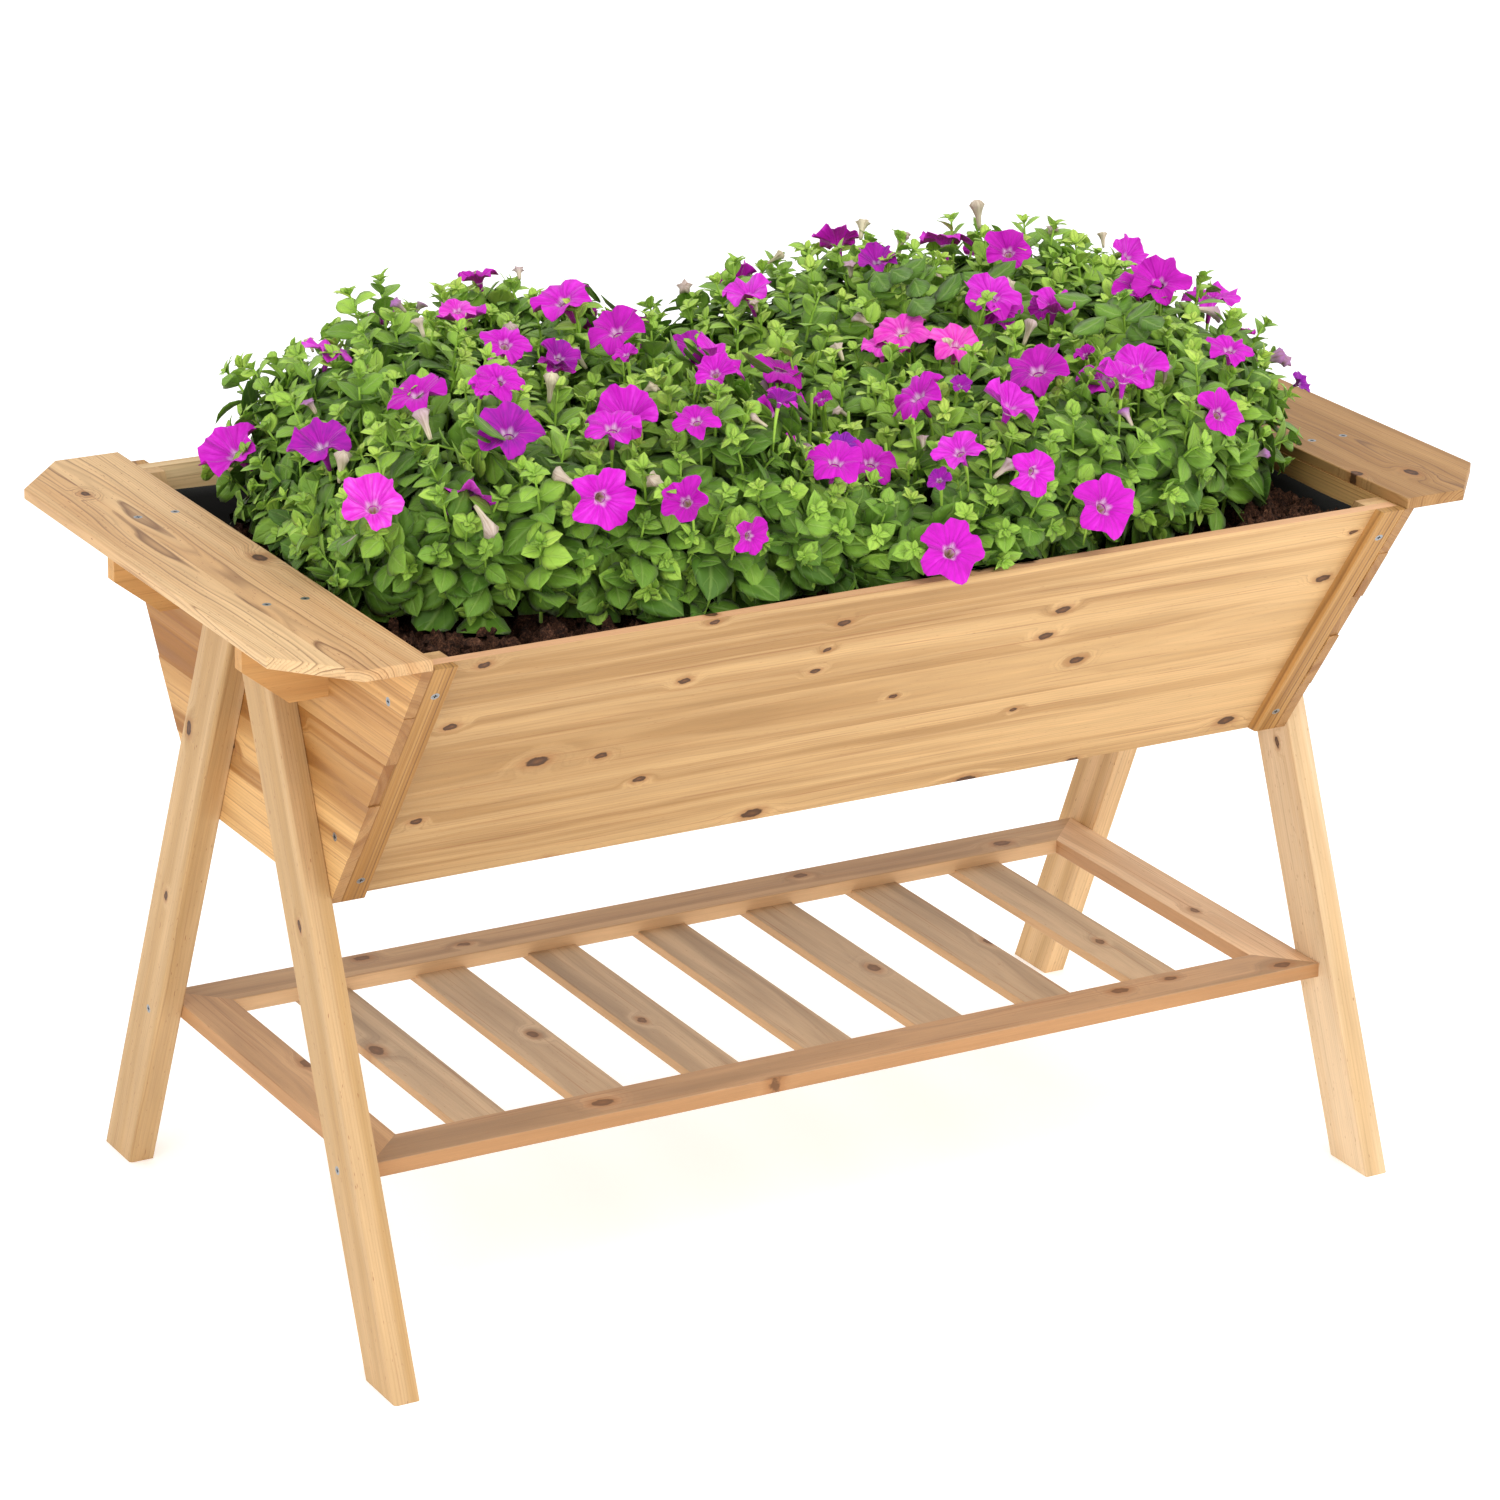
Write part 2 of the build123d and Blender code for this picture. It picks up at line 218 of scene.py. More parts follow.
# --- Fir ---
def fir(node, grain, face, look, knots=(), joints=(), shades=(0.0,), seed=0):
    """Knotty fir, sawn flat from a slim trunk and planed bare. The eye sees the growth rings where the
    plane cuts them: long lines at the sides, arches in the middle, round dots of rings on end grain,
    loops round dark knots, and a satin surface with fine fibres.
    Rings are the distance from the trunk's middle line plus a slow wander, cut into years."""
    material, add = new_material("fir_" + node)
    low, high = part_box(node)
    centre = (Vector(low) + Vector(high)) / 2
    along, out = Vector(grain).normalized(), Vector(face).normalized()
    turn = Matrix((along, out.cross(along), out)).transposed().to_euler()
    place = add("Mapping", add("TexCoord", out="Object"), centre, turn, (MM, MM, MM),
                vector_type="TEXTURE")
    # place is in millimetres: X along the grain, Y across the face, Z through the thickness
    x, y, z = (add("SeparateXYZ", place, out=axis) for axis in "XYZ")
    # glued strips: each has its own shade and its own stretch of the patterns
    strip, shade = 0.0, shades[0]
    for i, joint in enumerate(joints):
        past = add("GREATER_THAN", y, joint)
        strip = add("MULTIPLY_ADD", past, 1.0, strip)
        shade = add("MULTIPLY_ADD", past, shades[i + 1] - shades[i], shade)
    shift = add("CombineXYZ", add("MULTIPLY", strip, 977.0), add("SINE", add("MULTIPLY", strip, 2.4)),
                seed * 61.0)
    shifted = add("VectorMath", place, shift, operation="ADD")

    def streaks(cells, detail, rough=0.5):
        """Noise drawn out along the grain; cells is how many there are to a millimetre."""
        return add("noise", add("stretch", shifted, cells), 1.0, detail, rough)

    # slow wander of the rings: half a metre along, a few centimetres across
    wander = streaks(look["wander"], 2.5)
    nearest = None
    if knots:
        torn_by = Vector((8.0, 5.0, 0.0))
        torn = add("noise", place, 0.13, 2.0, out="Color")
        spoilt = add("VectorMath", torn, torn_by, place, operation="MULTIPLY_ADD")
        for kx, ky, radius in knots:
            reach = (0.74 / radius, 1.24 / radius, 0.0)
            off = (-(kx + torn_by.x / 2) * reach[0], -(ky + torn_by.y / 2) * reach[1], 0.0)
            to_knot = add("length", add("VectorMath", spoilt, reach, off, operation="MULTIPLY_ADD"))
            nearest = to_knot if nearest is None else add("SMOOTH_MIN", nearest, to_knot, 0.6)
    # distance from the trunk's middle line, which lies elsewhere for each strip
    pith_y, pith_z = look["pith"]
    chance = add("random", add("ADD", strip, seed * 1.37 + 0.5))
    strip_pith = add("MULTIPLY_ADD", chance, 2 * look["pith_spread"], pith_y - look["pith_spread"])
    trunk = add("length", add("CombineXYZ", 0.0, add("SUBTRACT", y, strip_pith),
                              add("SUBTRACT", z, pith_z)))
    trunk = add("MULTIPLY_ADD", wander, look["wander_by"], trunk)
    if knots:
        pushed = add("range", nearest, 0.4, 5.0, 1.0, 0.0, interpolation_type="SMOOTHERSTEP")
        trunk = add("MULTIPLY_ADD", pushed, look["spacing"] * 4.2, trunk)
    years = add("MULTIPLY", trunk, 1 / look["spacing"])
    # each year darkens slowly to its latewood line and starts pale again, some years more than others
    darkness = ((0.0, 0.25), (0.12, 0.0), (0.55, 0.18), (0.86, 1.0), (1.0, 0.3))
    late = add("ValToRGB", add("FRACT", years), stops=[(at, (v, v, v, 1.0)) for at, v in darkness])
    hard_year = add("POWER", add("random", add("FLOOR", years)), 2.2)
    late = add("MULTIPLY", late, add("range", hard_year, 0.0, 1.0, 0.22, 1.0))
    # broad brown bands of heartwood follow the rings too, and one end of the board is browner
    band_at = add("CombineXYZ", add("MULTIPLY", add("SeparateXYZ", shifted, out="X"), 0.0011),
                  add("MULTIPLY", trunk, 1 / look["band_width"]), seed * 3.7)
    band = add("ease", add("noise", band_at, 1.0, 2.0, 0.55), 0.36, 0.68, 0.0, look["band"])
    band = add("ADD", band, shade)
    band = add("MULTIPLY_ADD", x, look["fade"], band, use_clamp=True)
    # fibres are drawn 1.3 mm across, coarser than real ones, so that they show; flecks of resin are
    # 8 mm long and reddish hairlines as long as a hand
    fibre = streaks((0.018, 0.8, 0.8), 3.0, 0.7)
    flame = streaks((0.006, 0.09, 0.09), 2.0, 0.6)
    fleck = add("range", streaks((0.11, 0.62, 0.62), 1.0), 0.70, 0.78, 0.0, look["fleck"])
    hair = add("range", streaks((0.0045, 0.42, 0.42), 1.0), 0.64, 0.74, 0.0, look["hair"])
    colour = add("mix", band, look["pale"], look["brown"])
    colour = add("mix", add("MULTIPLY", late, look["line"]), colour, look["late"])
    colour = add("mix", fleck, colour, "#8a5230")
    colour = add("mix", hair, colour, "#94603a")
    normal = add("NewGeometry", out="Normal")
    # painted light and shade by facing: faces whose upward tilt lies between the look's two limits take the
    # look's edge colour, a painted highlight on the front panel's upward top edge and on the back rail's
    # sides, painted shade on the other shelf boards' upright sides
    if "edge" in look:
        level = add("ABSOLUTE", add("SeparateXYZ", normal, out="Z"))
        painted_facing_light = add("range", level, look["edge_from"], look["edge_to"], 0.0, 0.8)
        colour = add("mix", painted_facing_light, colour, look["edge"])
    # sawn end grain is darker
    facing = add("VectorMath", normal, tuple(along), out="Value", operation="DOT_PRODUCT")
    sawn = add("range", add("ABSOLUTE", facing), 0.5, 0.75, 0.0, look["ends"])
    colour = add("mix", sawn, colour, "#7d5230")
    tone = add("SUBTRACT", add("MULTIPLY_ADD", fibre, 0.30, 0.85), 0.18)
    tone = add("MULTIPLY_ADD", flame, 0.36, tone)
    tone = add("MULTIPLY_ADD", x, look["lift"], tone)
    colour = add("mix", 1.0, colour, add("CombineColor", tone, tone, tone), blend_type="MULTIPLY")
    height = add("MULTIPLY_ADD", late, 0.55, fibre)
    if knots:
        halo = add("ease", nearest, 0.8, 2.6, 0.62, 0.0)
        colour = add("mix", halo, colour, look["halo"])
        core = add("ValToRGB", add("MULTIPLY", nearest, 0.8),
                   stops=((0.0, "#6b4326"), (0.3, "#54331b"), (0.5, "#43281a"), (0.8, "#331c0e"),
                          (1.0, "#3f2412")))
        inside = add("ease", nearest, 0.95, 1.25, look["knot"], 0.0)
        colour = add("mix", inside, colour, core)
        height = add("SUBTRACT", height, add("MULTIPLY", inside, 0.8))
    gloss = add("range", late, 0.0, 1.0, 0.62, 0.48)
    coat(add, colour, gloss, add("bump", height, 0.55, 0.00035), 0.35)
    dress(node, material)


# What each board was cut from: pale earlywood, brown heartwood bands, latewood lines, millimetre sizes; edge
# is painted light and shade, a colour for faces turned one way
stock = {
    "pale": "#d5af7d", "brown": "#b28a5c", "late": "#8e6639", "halo": "#9a6538", "spacing": 3.2,
    "pith": (10.0, -70.0), "pith_spread": 40.0, "wander": (0.0022, 0.016, 0.016), "wander_by": 26.0,
    "band_width": 17.0, "band": 0.95, "line": 0.5, "fade": 0.0, "lift": 0.0, "fleck": 0.35, "hair": 0.45,
    "knot": 0.9, "ends": 0.0,
}
# edge here is a painted highlight: the panel's upward top edge is painted lighter and pinker, where light
# from above falls on it
front_stock = {**stock, "pale": "#cfa976", "brown": "#ab8454", "fade": -0.0008, "lift": 0.00013,
               "edge": "#dfab82", "edge_from": 0.9, "edge_to": 0.99}
rim_stock = {**stock, "pale": "#deba8a", "brown": "#be8f5d", "late": "#6f461f", "spacing": 3.1,
             "pith": (0.0, -28.0), "pith_spread": 22.0, "line": 0.95, "wander_by": 34.0, "band": 0.7,
             "fleck": 0.8}
end_stock = {**stock, "pale": "#d9ab6e", "brown": "#9b672d", "late": "#7a4a1e", "spacing": 3.4,
             "pith": (0.0, -60.0), "line": 0.65, "wander": (0.0014, 0.012, 0.012), "wander_by": 14.0,
             "fade": 0.0009, "ends": 0.6}
leg_stock = {**stock, "pale": "#c8a578", "brown": "#b5905f", "late": "#946e42", "spacing": 2.6,
             "pith": (50.0, -60.0), "pith_spread": 20.0, "wander_by": 14.0, "fleck": 0.75, "hair": 0.2}
front_right_leg = {**leg_stock, "pale": "#dfc49f", "brown": "#ccaa7d", "late": "#ac8a5d"}
back_right_leg = {**leg_stock, "pale": "#dcb787", "brown": "#c29b67", "late": "#a27b48"}
batten_stock = {**stock, "pale": "#bb8d52", "brown": "#95672f", "late": "#643c18", "spacing": 3.8,
                "line": 1.0, "pith": (45.0, -12.0), "pith_spread": 8.0, "wander_by": 10.0}
bracket_stock = {**stock, "pale": "#ce9e61", "brown": "#bc8a51", "late": "#a67540", "line": 0.4}
# edge in shelf_stock and in slat_stock is painted shade: the shelf boards' upright sides are painted darker
# than their tops
shelf_stock = {**stock, "pale": "#ba9672", "brown": "#9a7c5e", "late": "#7c5e47", "spacing": 2.8,
               "pith": (15.0, -45.0), "line": 0.4, "edge": "#b28152", "edge_from": 0.8, "edge_to": 0.3,
               "knot": 0.62}
slat_stock = {**shelf_stock, "pale": "#c8ae8e", "brown": "#a38c72", "edge": "#c59a6a"}


def dress_wood():
    """Every board, its grain along its length and its face where the saw cut flat. Knots are place along
    the grain, place across it and radius."""
    def along_side(sign):
        return (0, -side_slope * sign, 1)

    def side_face(sign):
        return (0, -sign, -side_slope)

    front_knots = (
        (-500, 176, 5), (-510, 82, 5.5), (-390, -4, 8.5), (-315, -14, 5), (-255, 92, 4.5), (-255, -68, 5),
        (-90, -170, 8), (-325, -190, 8), (-95, 104, 3.5), (-97, 70, 4), (-90, 146, 5), (-250, 184, 4),
        (185, 104, 6), (180, 62, 6), (240, 8, 6), (20, 0, 3.5), (190, -64, 3.5), (175, -184, 9),
        (310, -182, 5), (500, -160, 7), (520, 80, 6), (525, 156, 3.5), (-505, -72, 5),
    )
    fir("front_panel", ALONG_X, side_face(1), front_stock, front_knots, (-112, -40, 40, 118),
        (0.0, 0.0, 0.28, 0.02, 0.1), seed=3)
    # the back panel is painted paler than the stock: painted light on its inner face, which plants and boards
    # shade
    fir("back_panel", ALONG_X, side_face(-1), {**stock, "pale": "#e8c898", "brown": "#cda573"},
        ((-420, 90, 8), (-180, -60, 6), (60, 120, 5), (260, -130, 10), (430, 40, 6), (-300, -150, 5)),
        (-100, -20, 60, 130), (0.1, 0.0, 0.2, 0.0, 0.15), seed=11)
    joints = (-91, -22, 34, 94)
    fir("left_end_panel", ALONG_Y, ALONG_X, end_stock, ((-90, 20, 5), (70, -60, 6)), joints,
        (-0.35, 0.05, 0.45, 0.6, 0.3), seed=5)
    fir("right_end_panel", ALONG_Y, ALONG_X, end_stock, ((60, 50, 7), (-110, -10, 6)), joints,
        (-0.3, 0.0, 0.2, 0.4, 0.1), seed=17)
    fir("left_rim_board", ALONG_Y, UP, rim_stock, ((-20, -52, 8), (250, 20, 5)), (16,), (0.15, 0.0),
        seed=7)
    fir("right_rim_board", ALONG_Y, UP, {**rim_stock, "pale": "#b48a58", "brown": "#966c3e"},
        ((-297, 10, 7), (-275, 65, 6), (120, -20, 7)), (-12,), (0.0, 0.2), seed=9)
    corners = (("front_left", 1), ("back_left", -1), ("front_right", 1), ("back_right", -1))
    for i, (name, sign) in enumerate(corners):
        slant = (0, -leg_slope * sign, -1)
        knots = ((-190, 5, 6), (30, -12, 4)) if name == "back_left" else ((-60 * sign, 8, 4),)
        look = {"front_right": front_right_leg, "back_right": back_right_leg}.get(name, leg_stock)
        fir(name + "_leg", slant, ALONG_X, look, knots, seed=20 + i)
        fir(name + "_batten", along_side(sign), side_face(sign), batten_stock, seed=30 + i)
        fir(name + "_corner_post", along_side(sign), side_face(sign), stock, seed=40 + i)
        fir(name + "_bracket", ALONG_X, ALONG_Y, bracket_stock, seed=50 + i)
    rails = (
        ("front", ALONG_X, {}, ((-300, 0, 8), (-111, -32, 6), (338, 6, 7), (406, 10, 5), (538, -14, 7))),
        # the back rail's edge colour is a painted highlight: its upright sides are painted lighter than its
        # top
        ("back", ALONG_X, {"pale": "#c3a17b", "brown": "#a07f5e", "edge": "#d8b184"},
         ((-350, 14, 6), (-233, 0, 5), (200, 10, 6), (460, -8, 7))),
        ("left", ALONG_Y, {"pale": "#cfa77c", "brown": "#b08a64"}, ((5, -24, 7),)),
        ("right", ALONG_Y, {"pale": "#e4c29c", "brown": "#cba682"}, ((-60, 8, 5),)),
    )
    for i, (side, grain, own, knots) in enumerate(rails):
        fir(f"shelf_{side}_rail", grain, UP, {**shelf_stock, **own}, knots, seed=61 + i)
    slat_knots = {1: ((30, 20, 8),), 2: ((-7, -8, 6),), 3: ((-26, 8, 5),), 5: ((-14, -12, 7),),
                  6: ((-5, -28, 6),), 7: ((-62, 0, 5),)}
    for i in range(1, 8):
        fir(f"shelf_slat_{i}", ALONG_Y, UP, slat_stock, slat_knots.get(i, ()), seed=70 + i)
    for i in range(1, 5):
        fir(f"floor_bearer_{i}", ALONG_Y, UP, stock, seed=80 + i)
    for i in range(1, 4):
        fir(f"floor_board_{i}", ALONG_X, UP, stock, ((120 * i - 300, 10, 8),), seed=90 + i)


def dress_screws():
    """Bright zinc-plated steel screws, tumbled in the bath: blue-white metal with a soft broken gloss."""
    material, add = new_material("zinc_plated_steel")
    cloud = add("noise", add("TexCoord", out="Object"), 900.0, 3.0)
    colour = add("mix", cloud, "#70757a", "#b9bcbe")
    rough = add("range", cloud, 0.0, 1.0, 0.25, 0.5)
    coat(add, colour, rough, add("bump", cloud, 0.2, 0.0001), Metallic=1.0)
    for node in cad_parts:
        if node.endswith("_screws"):
            dress(node, material)


# --- Liner ---
def side_y(z, depth):
    """Half depth of the trough at height z, at a depth in metres behind the battens' face."""
    return rim_half_depth - (rim_z - z) * side_slope - depth * level_factor


def trough_loop(z, gap, count):
    """Round the inside of the trough at height z, gap clear of the panels and corner posts: a rectangle
    with its corners notched for the posts, walked at an even pace."""
    x, post_x = inner_x_half - gap, (inner_x_half - post_side - gap) - 2 * gap
    y, post_y = (side_y(z, depth) - gap * level_factor for depth in (panel_depth, post_depth))
    corner = [(post_x, -y), (post_x, -post_y), (x, -post_y), (x, post_y), (post_x, post_y), (post_x, y),
              (-post_x, y), (-post_x, post_y), (-x, post_y), (-x, -post_y), (-post_x, -post_y),
              (-post_x, -y)]
    corner = np.array(corner + corner[:1])
    shares = np.array([3, 5, 60, 5, 3, 100] * 2) * count // 352
    return np.concatenate([corner[i] + (corner[i + 1] - corner[i]) * (np.arange(n) / n)[:, None]
                           for i, n in enumerate(shares)])


def liner_material():
    """Black needled non-woven fabric: a dead black felt with short fibres."""
    material, add = new_material("black_nonwoven")
    place = add("TexCoord", out="Object")
    felt = add("noise", place, 700.0, 4.0, 0.7)
    patch = add("noise", place, 25.0, 2.0)
    tone = add("MULTIPLY_ADD", felt, 0.6, add("MULTIPLY", patch, 0.4))
    colour = add("mix", tone, "#060606", "#24211f")
    coat(add, colour, 0.92, add("bump", felt, 0.6, 0.0004), 0.2, Sheen_Weight=0.15, Sheen_Roughness=0.6)
    return material


def make_liner():
    """Felt cut flat, folded into the trough and stapled near the rim, with soft creases. Each row is the
    trough's own outline at its height; creases push it inwards by up to 2 mm and the free top edge waves
    by 3 mm."""
    floor_z = floor_top_z + liner_gap
    heights = floor_z + (liner_top_z - floor_z) * np.linspace(0, 1, 26) ** 0.9
    rows = []
    for z in heights[::-1]:
        loop = trough_loop(z, liner_gap, 704)
        walk = np.linspace(0, 2 * np.pi, len(loop), endpoint=False)
        share = (z - floor_z) / (liner_top_z - floor_z)
        crease = lattice(np.cos(walk) * 9, np.sin(walk) * 9 + share * 1.5, 0.4, np.random.default_rng(2))
        wave = lattice(np.cos(walk) * 9, np.sin(walk) * 9, 1.2, np.random.default_rng(3)) - 0.5
        inward = -unit(loop * np.array([0.3, 1.0]))
        loop = loop + inward * (crease * 0.0018 * math.sin(math.pi * min(1, share + 0.12)))[:, None]
        rows.append(np.column_stack([loop, z + wave * 0.006 * share ** 3]))
    last = rows[-1]
    for share in (0.75, 0.5, 0.25, 0.02):
        rows.append(last * np.array([0.6 + 0.4 * share, share, 1.0]))
    rows = np.array(rows)
    index = np.arange(rows.shape[0] * rows.shape[1]).reshape(rows.shape[:2])
    faces = walls(index).tolist() + [index[-1].tolist()]
    piece = make_piece("liner_bag", rows.reshape(-1, 3), faces, liner_material())
    thick = piece.modifiers.new("cloth", "SOLIDIFY")
    thick.thickness = 0.0009
    thick.offset = 0.0
    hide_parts("liner")


# --- Soil ---
soil_clear = 0.0042                     # how far the soil stays off the panels
soil_lift = -0.002                      # the grid's middle height over the packed soil's top


def soil_half_depth(x):
    """Half depth of the soil at the soil's top, narrower beside the corner posts."""
    wide, narrow = (side_y(soil_z, depth) - soil_clear for depth in (panel_depth, post_depth))
    beside = np.clip((np.abs(x) - (inner_x_half - 0.0375)) / 0.004, 0, 1)
    return wide + (narrow - wide) * beside


def clods(x, y, rng):
    """Height of loose crumbly ground: rounded heaps with creases between, at five sizes, in metres."""
    height = 0.008 * (lattice(x, y, 0.13, rng) - 0.5)
    for cell, rise in ((0.036, 0.016), (0.016, 0.019), (0.0085, 0.0125), (0.0045, 0.006)):
        height = height + rise * (np.abs(2 * lattice(x, y, cell, rng) - 1) ** 0.8 - 0.45)
    return height


def end_dip(x, y):
    """How far the soil has sunk beside the left end board, most of all in the back corner, in metres."""
    end = np.clip((-x - 0.515) / 0.05, 0, 1)
    return 0.008 * end + 0.085 * np.clip((-x - 0.50 + 0.6 * (y - 0.21)) / 0.05, 0, 1)


def soil_material():
    """Peat-based potting soil: dark brown crumbs, matt and slightly damp, with paler fibres."""
    material, add = new_material("potting_peat")
    place = add("TexCoord", out="Object")
    grain = add("noise", place, 420.0, 5.0, 0.75)
    patch = add("noise", place, 60.0, 3.0)
    mixed = add("MULTIPLY_ADD", grain, 0.7, add("MULTIPLY", patch, 0.3))
    colour = add("ValToRGB", mixed,
                 stops=((0.38, "#140b07"), (0.50, "#43281b"), (0.61, "#77503a"), (0.78, "#b38c6b")))
    rough = add("range", grain, 0.0, 1.0, 1.0, 0.8)
    coat(add, colour, rough, add("bump", grain, 1.0, 0.0030), 0.25)
    return material


def make_soil():
    """Soil tipped in and pressed by hand. A closed body: a grid of heaps on top, sides that follow the
    trough, a flat base. Loose crumbs lie on the bare ground near the edges."""
    material = soil_material()
    across, deep = 330, 190
    x = np.linspace(-1, 1, across)[:, None] * (inner_x_half - 0.0035) * np.ones((1, deep))
    y = soil_half_depth(x) * np.linspace(-1, 1, deep)[None, :]
    rng = np.random.default_rng(8)
    z = soil_z + soil_lift + clods(x, y, rng) - end_dip(x, y)
    top = np.stack([x, y, z], axis=-1)

    def border(grid):
        """The grid's outermost points, in order round it."""
        return np.concatenate([grid[:-1, 0], grid[-1, :-1], grid[:0:-1, -1], grid[0, :0:-1]])

    low_z = floor_top_z + 0.004
    squeeze = (side_y(low_z, post_depth) - 0.0045) / (side_y(soil_z, panel_depth) - soil_clear)
    foot = border(top) * np.array([1, squeeze, 0]) + np.array([0, 0, low_z])
    index = np.arange(across * deep).reshape(across, deep)
    quads = np.stack([index[:-1, :-1], index[1:, :-1], index[1:, 1:], index[:-1, 1:]], axis=-1)
    edge = border(index)
    below = across * deep + np.arange(len(edge))
    skirt = np.stack([edge, below, np.roll(below, -1), np.roll(edge, -1)], axis=-1)
    points = np.concatenate([top.reshape(-1, 3), foot])
    faces = quads.reshape(-1, 4).tolist() + skirt.tolist() + [below[::-1].tolist()]
    piece = make_piece("soil_bed", points, faces, material)
    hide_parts("soil")

    count = 2600
    x = rng.uniform(-1, 1, count) * (inner_x_half - 0.012)
    y = rng.uniform(-1, 1, count)
    edge_first = rng.random(count) < 0.7
    y = np.where(edge_first, np.sign(y) * (1 - np.abs(y) ** 2 * 0.35), y) * (soil_half_depth(x) - 0.008)
    size = 0.0018 + 0.0072 * rng.random(count) ** 2.0
    z = soil_z + soil_lift + clods(x, y, np.random.default_rng(8)) - end_dip(x, y) + size * 0.4
    polar = np.linspace(0.25, math.pi - 0.25, 4)[:, None]
    turn = np.linspace(0, TURN, 6, endpoint=False)
    ball = np.stack([np.sin(polar) * np.cos(turn), np.sin(polar) * np.sin(turn),
                     np.cos(polar) * np.ones(6)], axis=-1)
    lumps = ball[None] * size[:, None, None, None] * rng.uniform(0.6, 1.35, (count, 4, 6, 1))
    lumps = lumps * rng.uniform(0.7, 1.4, (count, 1, 1, 3)) + np.stack([x, y, z], axis=-1)[:, None, None]
    points, faces = loft(lumps)
    make_piece("soil_crumbs", points, faces, material, smooth=False)


# --- Petunias ---
mound_half = np.array([0.560, 0.352])
mound_middle = 0.010
# profile from the hem up over the shoulder to the crown: share of the outline, height
mound_reach_x = np.array([0.94, 0.99, 1.0, 0.98, 0.93, 0.80, 0.5, 0.0])
mound_reach = np.array([0.88, 0.97, 1.0, 0.97, 0.90, 0.76, 0.5, 0.0])
mound_rise = np.array([0.762, 0.794, 0.835, 0.878, 0.908, 0.926, 0.934, 0.936])
# tufts and saddles of the crown along X, in millimetres: place and lift
crown = np.array([(-560, -36), (-500, -44), (-450, 2), (-400, -24), (-350, 8), (-250, -26), (-200, -18),
                  (-150, 8), (-100, -52), (0, -80), (100, -40), (200, -24), (250, 4), (300, -36), (400, 4),
                  (500, -4), (590, -24)]) * MM
mound_steps = np.concatenate([[0], np.cumsum(np.hypot(np.diff(mound_reach) * 0.42, np.diff(mound_rise)))])
mound_steps = mound_steps / mound_steps[-1]


def mound(angle, climb):
    """Points of the planting's outer surface: an oval in plan, squarer at the back, carried up a rounded
    profile, with tufts and hollows, lower at the left end and higher at the back."""
    def up_the_side(places, values):
        return np.interp(climb, places, values)

    rise = up_the_side(mound_steps, mound_rise)
    c, s = np.cos(angle), np.sin(angle)
    power = 2.95 + 0.55 * np.clip(2.5 * s, -1, 1)
    x = mound_half[0] * np.sign(c) * np.abs(c) ** (2 / power) * up_the_side(mound_steps, mound_reach_x)
    x = x + mound_middle + 0.018 * (c < 0) * np.clip((s + 0.1) / 0.3, 0, 1)
    # the right shoulder bulges out over the board there, the left one stands back
    bulge = up_the_side([0.0, 0.2, 0.4, 0.8], [-0.5, 0.2, 1.0, 0.9])
    x = x + 0.042 * (c > 0) * np.abs(c) ** 1.5 * bulge
    x = x + 0.030 * (c < 0) * up_the_side([0.25, 0.5], [0.0, 1.0])
    # shoots lean out over the left board towards the front
    lean_out = np.exp((c * math.cos(-2.62) + s * math.sin(-2.62) - 1) / 0.04)
    x = x - 0.042 * lean_out * up_the_side([0.05, 0.22, 0.6, 0.9], [0.2, 1.0, 0.6, 0.0])
    y = mound_half[1] * np.sign(s) * np.abs(s) ** (2 / power) * up_the_side(mound_steps, mound_reach)
    # bare soil shows along the left half of the front
    tuck = np.clip((0.03 - x) / 0.14, 0, 1) * (s < 0) * up_the_side([0.25, 0.6], [1.0, 0.0])
    ragged = lattice(x, y, 0.065, np.random.default_rng(23)) - 0.5
    y = y * (1 - 0.14 * tuck + 0.10 * ragged * up_the_side([0.0, 0.4], [1.0, 0.0]))
    tufts = lattice(x, y, 0.17, np.random.default_rng(21)) - 0.5
    share = (rise - mound_rise[0]) / (mound_rise[-1] - mound_rise[0])
    lift = 0.040 * tufts + 0.012 * np.clip(y / 0.3, -1, 1) + np.interp(x, crown[:, 0], crown[:, 1])
    return np.stack([x, y, rise + share * lift], axis=-1)


def mound_face(angle, climb):
    """Outward direction of that surface."""
    here = mound(angle, climb)
    up = mound(angle, np.minimum(climb + 0.02, 1.0)) - mound(angle, np.maximum(climb - 0.02, 0.0))
    side = mound(angle + 0.03, climb) - mound(angle - 0.03, climb)
    out = unit(np.cross(side, up))
    middle = here - np.array([0, 0, 0.78])
    return np.where((out * middle).sum(-1, keepdims=True) < 0, -out, out)


def scatter(count, rng):
    """Random places on the mound, as angle and climb, more of them low down."""
    return rng.uniform(0, TURN, count), 1 - rng.random(count) ** 0.8


def spread(count, apart, rng):
    """Places on the mound, none nearer to another than apart."""
    angle, climb = scatter(count, rng)
    places = mound(angle, climb)
    kept = []
    for i in range(count):
        if not kept or ((places[kept] - places[i]) ** 2).sum(1).min() > apart ** 2:
            kept.append(i)
    return angle[kept], climb[kept]


def keep_clear(points):
    """Lifts leaves off the rim boards and the long sides' top edges, and out of the soil."""
    board_x, board_top = 0.560, 0.7865
    edge_in, edge_out, edge_top, edge_low = 0.335, 0.373, rim_z + 0.003, 0.70
    x, y, z = points[:, 0], points[:, 1], points[:, 2]
    z = np.where((np.abs(x) > board_x) & (z < board_top), board_top, z)
    edge = (np.abs(y) > edge_in) & (np.abs(y) < edge_out) & (z < edge_top) & (z > edge_low)
    z = np.where(edge, edge_top, z)
    z = np.maximum(z, np.where(np.abs(y) < edge_out, plant_foot_z, edge_low))
    return np.stack([x, y, z], axis=-1)


def make_foliage(name, rings, marks, material):
    """One piece of closed skins, kept off the boards."""
    points, faces = loft(rings)
    return make_piece(name, keep_clear(points), faces, material, marks.reshape(-1, 3))


